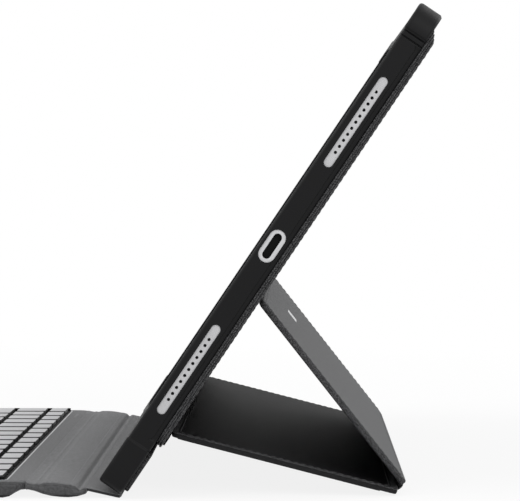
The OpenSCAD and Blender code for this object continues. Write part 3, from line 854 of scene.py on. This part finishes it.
def make_web(name, span, top, edge, node):
    """Flexible fabric across a fold, between the two bodies that it joins; it is fixed in place, on neither
    body.
    """
    piece = slab(name, WORLD, KB_W - 0.1 * MM, *span, underside, top, edge, PAD_R, (90, 26), END)
    dress(piece, None, "grey_fabric", [node], COVER_TONES)
    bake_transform(piece)


def make_keyboard_web():
    """Fabric between the keyboard and the spine: a shallow hollow with a fine ridge along the fold."""
    y0, y1 = KB_REAR - 2.2 * MM, SPINE_LOW + 2.4 * MM
    front, rear = KB_T - 0.12 * MM, spine_top(0, y1) + 0.08 * MM
    dip, ridge, ridge_half = 0.6 * MM, 0.22 * MM, 0.5 * MM

    def crease(x, y):
        u = (y - y0) / (y1 - y0)
        hollow = dip * math.sin(math.pi * u)
        return front * (1 - u) + rear * u - hollow + ridge * math.exp(-((y - CREASE_Y) / ridge_half) ** 2)

    make_web("keyboard_crease_fabric", (y0, y1), crease, 0.3 * MM,
             "keyboard_hinge_web")


def make_spine_web():
    """Fabric between the spine and the wrap panel: a narrow groove along the fold."""
    y0, y1 = SPINE_HIGH - 2.4 * MM, GROOVE_Y + 2.8 * MM
    front = spine_top(0, y0) + 0.12 * MM
    rear = (WRAP @ Vector((0, -WRAP_L + 2.8 * MM, WRAP_UP))).z + 0.1 * MM
    dip, dip_half = 1.0 * MM, 0.9 * MM

    def groove(x, y):
        u = (y - y0) / (y1 - y0)
        return front * (1 - u) + rear * u - dip * math.exp(-((y - GROOVE_Y) / dip_half) ** 2)

    make_web("spine_crease_fabric", (y0, y1), groove, 0.6 * MM,
             "spine_hinge_web")


def make_wrap():
    """Thin fabric panel from the spine's groove to the tray's foot."""
    wrap = slab("wrap_panel_fabric", WRAP, KB_W - 2 * MM, -WRAP_L + 1.6 * MM, 0.42 * MM, level(-WRAP_DOWN),
                level(WRAP_UP), 0.45 * MM, 1.5 * MM, (90, 12))
    return dress(wrap, "wrap", "grey_fabric", ["wrap_panel"], WRAP_PAINTED_SHADE)


# ---- Stitches ----

STITCH_PITCH, STITCH_L, STITCH_R = 3 * MM, 1.9 * MM, 0.2 * MM
# How far the stitches of the stand's panels run inside their edges
STITCH_INSET = 0.95 * MM
# Place along a stitch and thickness there, as shares of its length and radius
STITCH_SHAPE = ((-0.5, 0.25), (-0.36, 0.85), (0, 1), (0.36, 0.85), (0.5, 0.25))
UP = Vector((0, 0, 1))


def stitch(work, place, middle, along, side):
    """One small rounded thread with six sides."""
    rings = []
    for offset, share in STITCH_SHAPE:
        centre = middle + along * offset * STITCH_L
        ring = []
        for step in range(6):
            turn = math.pi / 3 * step
            reach = side * math.cos(turn) + UP * math.sin(turn) * 0.8
            ring.append(work.verts.new(place @ (centre + reach * STITCH_R * share)))
        rings.append(ring)
    for low, high in zip(rings, rings[1:]):
        for step in range(6):
            after = (step + 1) % 6
            work.faces.new([low[step], low[after], high[after], high[step]])
    work.faces.new(rings[0][::-1])
    work.faces.new(rings[-1])


def stitches(name, place, points, body):
    """Row of sewn stitches along a line of points."""
    work = bmesh.new()
    for a, b in zip(points, points[1:]):
        run = b - a
        count = max(int(run.length / STITCH_PITCH), 1)
        along = run.normalized()
        side = along.cross(UP).normalized()
        for k in range(count):
            stitch(work, place, a + run * ((k + 0.5) / count), along, side)
    piece = closed(name, work)
    smooth(piece, 60)
    return dress(piece, body, "black_leather", (), THREAD)


def frame_points(width, y0, y1, inset, z, corner=2.5 * MM):
    """Corner points of a stitched line that runs round a panel, inset from its edges."""
    half, low, high = width / 2 - inset, y0 + inset, y1 - inset
    near, far = low + corner, high - corner
    places = ((corner - half, low), (half - corner, low), (half, near), (half, far),
              (half - corner, high), (corner - half, high), (-half, far), (-half, near))
    ring = [Vector((x, y, z)) for x, y in places]
    return ring + ring[:1]


# ---- Stand ----

# How far from the hinge line the panels' faces start, and the fold's leather on either side of its line
FOLD_GAP = 3.9 * MM
FOLD_OUT, FOLD_IN = 0.12 * MM, 0.7 * MM
# How deep the sheets on the panels' faces go, and the heights of those on the inner faces
SHEET_IN = 0.3 * MM
INNER_FACE = (STAND_HALF - SHEET_IN, STAND_HALF + 0.05 * MM)


def panel(name, place, inset, along, heights, edge, body, material, nodes=()):
    """Thick layer of a stand panel, narrower than the stand by inset."""
    low, high = (level(z) for z in heights)
    piece = slab(name, place, STAND_W - inset, *along, low, high, edge, 2.2 * MM, (70, 40))
    return dress(piece, body, "black_leather", nodes, material)


def sheet(name, place, inset, along, heights, body, slot, material=None):
    """Thin sheet on a face of a stand panel."""
    low, high = (level(z) for z in heights)
    piece = slab(name, place, STAND_W - inset, *along, low, high, 0.14 * MM, 2 * MM, (50, 30))
    return dress(piece, body, slot, (), material)


def make_base():
    """Lower panel of the stand: core, a rim in lighter leather along the top of its edge as a painted
    highlight, a sheet on either face, and stitches.
    """
    whole, low, high = (-STAND_HALF * 0.9, ARM - 1.7 * MM), 1.2 * MM, ARM - FOLD_GAP - 0.6 * MM
    panel("base_cover_leather", BASE, 0.8 * MM, whole, (-STAND_HALF, STAND_HALF - 0.4 * MM), 0.7 * MM,
          "base", LIP_LEATHER, ["base_cover", "base_lining"])
    # Painted highlight: a lighter band along the top of the base's edge
    panel("base_rim_painted_highlight", BASE, 0, whole, (STAND_HALF - 0.75 * MM, STAND_HALF), 0.34 * MM,
          "base", EDGE_LEATHER)
    sheet("base_top_leather", BASE, 1.1 * MM, (low, high), INNER_FACE, "base", "black_leather")
    sheet("base_sole", BASE, 2.6 * MM, (low, ARM - 8 * MM), (-STAND_HALF - 0.35 * MM, -STAND_HALF + SHEET_IN),
          "base", "black_leather")
    ring = frame_points(STAND_W, low, high, STITCH_INSET, STAND_HALF + 0.06 * MM)
    stitches("base_stitches", BASE, ring, "base")


def make_strut():
    """Upper panel of the stand: core, leather outside, lining inside, and stitches."""
    low, high = FOLD_GAP, ARM + 0.3 * MM
    panel("strut_cover_leather", STRUT, 0, (2.2 * MM, ARM + STAND_HALF * 0.9), (-STAND_HALF, STAND_HALF),
          0.8 * MM, "strut", EDGE_LEATHER, ["strut_cover", "strut_lining"])
    sheet("strut_outer_face", STRUT, 0.7 * MM, (low, high), (-STAND_HALF - 0.06 * MM, -STAND_HALF + SHEET_IN),
          "strut", "grey_fabric", GREY_LEATHER)
    sheet("strut_inner_face", STRUT, 0.7 * MM, (low, high), INNER_FACE, "strut", "lining")
    ring = frame_points(STAND_W, low, high, STITCH_INSET, -STAND_HALF - 0.1 * MM)
    stitches("strut_stitches", STRUT, ring, "strut")


def fold_line():
    """Places along the fold's leather: under the base, round the hinge line and up to the strut's face.

    Each place is a distance past the hinge line and a height, in the frame of its own panel.
    """
    drop = ARM * math.sin(STRUT_LEAN) + STAND_HALF
    under = ((-9 * MM, -STAND_HALF - 0.02 * MM), (-4 * MM, -1.26 * MM), (-1.2 * MM, -1.3 * MM))
    turn = ((0.1 * MM, -1.55 * MM), (1.6 * MM, -2.75 * MM), (3.2 * MM, -drop + 0.2 * MM))
    places = [BASE @ Vector((0, ARM + y, z)) for y, z in under]
    places += [FOLD @ Vector((0, y, z)) for y, z in turn]
    return places + [STRUT @ Vector((0, 8 * MM, -STAND_HALF - 0.02 * MM))]


def fold_strip(places, half, out, inside):
    """Closed strip along a line of places: it reaches out beyond them, and inside."""
    work = bmesh.new()
    normals = []
    for i in range(len(places)):
        run = (places[min(i + 1, len(places) - 1)] - places[max(i - 1, 0)]).normalized()
        normals.append(Vector((0, run.z, -run.y)))
    rows = []
    for x in (-half, half):
        for reach in (out, -inside):
            rows.append([work.verts.new(Vector((x, p.y, p.z)) + n * reach) for p, n in zip(places, normals)])
    lo, li, ro, ri = rows
    for k in range(len(places) - 1):
        work.faces.new([lo[k], ro[k], ro[k + 1], lo[k + 1]])
        work.faces.new([li[k], li[k + 1], ri[k + 1], ri[k]])
        work.faces.new([lo[k], lo[k + 1], li[k + 1], li[k]])
        work.faces.new([ro[k], ri[k], ri[k + 1], ro[k + 1]])
    work.faces.new([lo[0], li[0], ri[0], ro[0]])
    work.faces.new([lo[-1], ro[-1], ri[-1], li[-1]])
    return closed("stand_fold_leather", work)


def make_fold():
    """Soft leather fold at the table."""
    fold = fold_strip(fold_line(), STAND_W / 2 - 0.25 * MM, FOLD_OUT, FOLD_IN)
    split = fold.modifiers.new("round", "SUBSURF")
    split.levels = 2
    split.render_levels = 2
    applied(fold)
    smooth(fold, 70)
    dress(fold, None, "black_leather", ["fold_hinge"], EDGE_LEATHER)
    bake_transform(fold)


# ---- Board on the tray's back, and small pieces ----

BOARD_LOW, BOARD_HIGH = 23.5 * MM, TRAY_H - 6.5 * MM
# Layers in mm: name, upper face, thickness, how much higher they start and lower they end, edge radius
BOARD_LAYERS = (("board_inner_leather", -0.02, 0.92, 1.0, 0.0, 0.42),
                ("board_middle_leather", -0.92, 0.88, 0.3, 1.2, 0.42),
                ("board_outer_leather", -1.82, 0.98, 0.0, 2.8, 0.48))


def thinning(deep, shallow, end, reach):
    """Outer face of a layer that thins out towards its upper end."""
    return lambda x, y: deep + (shallow - deep) * smoothstep((y - end + reach) / reach)


def make_board():
    """Leather over a core, seen as three layers along its edge."""
    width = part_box("back_board")[1].x * 2
    for name, top, thick, rise, drop, edge in BOARD_LAYERS:
        end = BOARD_HIGH - drop * MM
        outer = thinning((top - thick) * MM, (top - 0.4 * thick) * MM, end, 1.8 * MM)
        layer = slab(name, TRAY, width, BOARD_LOW + rise * MM, end, outer, level(top * MM), edge * MM,
                     6 * MM, (60, 120))
        cut(layer, [camera_cutter()])
        smooth(layer, 50)
        nodes = ["back_board"] if name == "board_outer_leather" else ()
        dress(layer, "tray", "black_leather", nodes, EDGE_LEATHER)
    ring = frame_points(width, BOARD_LOW, BOARD_HIGH - 2.8 * MM, 1.6 * MM, -BOARD_T - 0.02 * MM, 5 * MM)
    stitches("board_stitches", TRAY, ring, "tray")


# Thickness of the key deck's rims, and how far they stand over the keyboard's top
RIM_T, RIM_UP = 0.95 * MM, 1.25 * MM


def make_deck_rims():
    """Low black rims that close the two ends of the key deck, just below the key tops."""
    low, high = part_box("key_deck")
    front, rear = low.y + 0.6 * MM, high.y - 0.6 * MM
    for name, side in (("deck_rim_left", -1), ("deck_rim_right", 1)):
        outer = side * (high.x - 0.1 * MM)
        inner = outer - side * RIM_T
        ring = [(outer, front), (outer, rear), (inner, rear), (inner, front)]
        dress(upright(name, ring, KB_T - 0.1 * MM, KB_T + RIM_UP), "keyboard", "black_plastic")


# How far the port's painted shade plate sits inside the wall, what it is smaller than the opening by, and its
# thickness
SHADE_PLATE_IN, SHADE_PLATE_GAP, SHADE_PLATE_T = 3 * MM, 0.05 * MM, 0.4 * MM


def make_port_shade_plate():
    """Black plate behind the ring of the charging port: painted shade, so the opening looks dark inside."""
    centre = Vector((TRAY_W / 2 - SHADE_PLATE_IN, PORT_ALONG, WALL_MID))
    shade_plate = stadium("port_shade_plate", centre, PORT_L - SHADE_PLATE_GAP, PORT_T - SHADE_PLATE_GAP, SHADE_PLATE_T)
    dress(shade_plate, "tray", "black_plastic")


KEYS = ("function_keys", "number_keys", "upper_letter_keys", "home_letter_keys", "lower_letter_keys",
        "bottom_keys", "space_bar")
KEY_R, KEY_SKIRT = 0.35 * MM, 0.2 * MM
# How far the key sides lean in, across the keyboard and along it
KEY_TAPER = (1.0 * MM, 0.12 * MM)


def finish_nodes():
    """Rounds the hard parts' edges, and gives every CAD node its own material."""
    for node in KEYS:
        tapered(refined(node, KEY_R, 3), KB_T + KEY_SKIRT, *KEY_TAPER)
    for node in ("speaker_grilles_right", "speaker_grilles_left"):
        refined(node, 0.12 * MM, 2, GRILLE_FACE)
    refined("port_surround", 0.12 * MM, 2, RING_FACE)
    refined("anchor_strip", 0.6 * MM, 3, EDGE_LEATHER)
    for node in ("key_deck", "deck_trim", "touch_pad", "camera_window_trim", "badge_plate"):
        refined(node, 0.1 * MM, 2)
    for node, obj in frame["nodes"].items():
        obj.data.materials.clear()
        obj.data.materials.append(MATERIALS[SLOT[node]])


# ---- Stage, light and camera ----

# Share of the floor's own shading that is replaced by plain white near the object
SHADOW_HIDDEN = 0.86
# Distances from the middle, in metres, between which that share grows to the whole
HIDDEN_FROM, HIDDEN_ALL = 0.25, 0.7
# Strength of the even white light from all round
AMBIENT = 0.55
WHITE = (1, 1, 1, 1)
FLOOR_TONE, FLOOR_SIZE = (0.8, 0.8, 0.8, 1), 8


def seen_directly(tree):
    """1 for rays that see the backdrop itself, straight on or by way of gloss or glass."""
    rays = tree.nodes.new("ShaderNodeLightPath")
    total = rays.outputs["Is Camera Ray"]
    for name in ("Is Glossy Ray", "Is Transmission Ray"):
        either = tree.nodes.new("ShaderNodeMath")
        either.operation = "MAXIMUM"
        tree.links.new(total, either.inputs[0])
        tree.links.new(rays.outputs[name], either.inputs[1])
        total = either.outputs[0]
    return total


def mixed_surface(tree, share, first, second, output):
    """Sends to the output's surface first where share is 0 and second where it is 1."""
    mix = tree.nodes.new("ShaderNodeMixShader")
    tree.links.new(share, mix.inputs["Fac"])
    tree.links.new(first.outputs[0], mix.inputs[1])
    tree.links.new(second.outputs[0], mix.inputs[2])
    tree.links.new(mix.outputs[0], tree.nodes[output].inputs["Surface"])


def backdrop_material():
    """Pale floor that the camera sees nearly white: a soft shadow stays, and far off it is plain white."""
    n = Nodes("floor_white")
    n.set(base=FLOOR_TONE, rough=0.9, specular=0.1)
    reach = n.add("ShaderNodeVectorMath", operation="LENGTH")
    n.link(n.place, reach.inputs[0])
    far = n.add("ShaderNodeMapRange")
    limits = {"From Min": HIDDEN_FROM, "From Max": HIDDEN_ALL, "To Min": SHADOW_HIDDEN, "To Max": 1}
    for name, value in limits.items():
        far.inputs[name].default_value = value
    n.link(reach.outputs["Value"], far.inputs["Value"])
    share = n.math("MULTIPLY", far.outputs["Result"], seen_directly(n.tree))
    mixed_surface(n.tree, share, n.shader, n.add("ShaderNodeEmission"), "Material Output")
    return n.material


def make_floor():
    bpy.ops.mesh.primitive_plane_add(size=FLOOR_SIZE, location=(0, 0, 0))
    floor = bpy.context.object
    floor.name = "floor"
    floor.data.materials.append(backdrop_material())


def make_world():
    """Even white light, and plain white where the camera sees past the floor."""
    world = bpy.data.worlds.new("studio")
    bpy.context.scene.world = world
    world.use_nodes = True
    tree = world.node_tree
    back = tree.nodes["Background"]
    white = tree.nodes.new("ShaderNodeBackground")
    for node in (back, white):
        node.inputs["Color"].default_value = WHITE
    back.inputs["Strength"].default_value = AMBIENT
    mixed_surface(tree, seen_directly(tree), back, white, "World Output")


# Name, place, what it points at, size of its square and power
LIGHTS = (("key_light", (0.5, -0.9, 1.3), (0, 0, 0.05), 1.2, 14),
          ("side_light", (1.4, 0.9, 0.9), (0, 0.1, 0.08), 1.0, 9),
          ("back_light", (-0.6, 1.3, 0.9), (0, 0.1, 0.08), 1.0, 9))


def area_light(name, place, target, size, power):
    """Square light that looks at target."""
    data = bpy.data.lights.new(name, "AREA")
    data.shape = "RECTANGLE"
    data.size = size
    data.size_y = size
    data.energy = power
    lamp = add_object(name, data)
    lamp.location = place
    lamp.rotation_euler = (Vector(target) - Vector(place)).to_track_quat("-Z", "Y").to_euler()


# The camera stands off the right-hand end: the X axis meets the picture at VANISH
FRAME_W, FRAME_H = 520, 501
FOCAL_PX = 2369
VANISH = (295, 176)
CAMERA_PLACE = Vector((1.055, 0.12404, 0.125))


def make_camera():
    """Camera solved from the photo: its picture's middle lies off the vanishing point by aside and above."""
    data = bpy.data.cameras.new("camera")
    data.sensor_fit = "HORIZONTAL"
    data.sensor_width = 36
    data.lens = FOCAL_PX / FRAME_W * data.sensor_width
    data.clip_start, data.clip_end = 0.01, 50
    camera = add_object("camera", data)
    camera.location = CAMERA_PLACE
    aside = (VANISH[0] - FRAME_W / 2) / FOCAL_PX
    above = (FRAME_H / 2 - VANISH[1]) / FOCAL_PX
    forward = Vector((-1, -aside, -above))
    camera.rotation_euler = forward.to_track_quat("-Z", "Y").to_euler()
    bpy.context.scene.camera = camera


# ---- Build ----

make_tray()
make_keyboard_cover()
make_spine()
make_keyboard_web()
make_spine_web()
make_wrap()
make_base()
make_strut()
make_fold()
make_board()
make_deck_rims()
make_port_shade_plate()
finish_nodes()
make_floor()
make_world()
for light in LIGHTS:
    area_light(*light)
make_camera()
bpy.context.scene.view_settings.view_transform = "Standard"
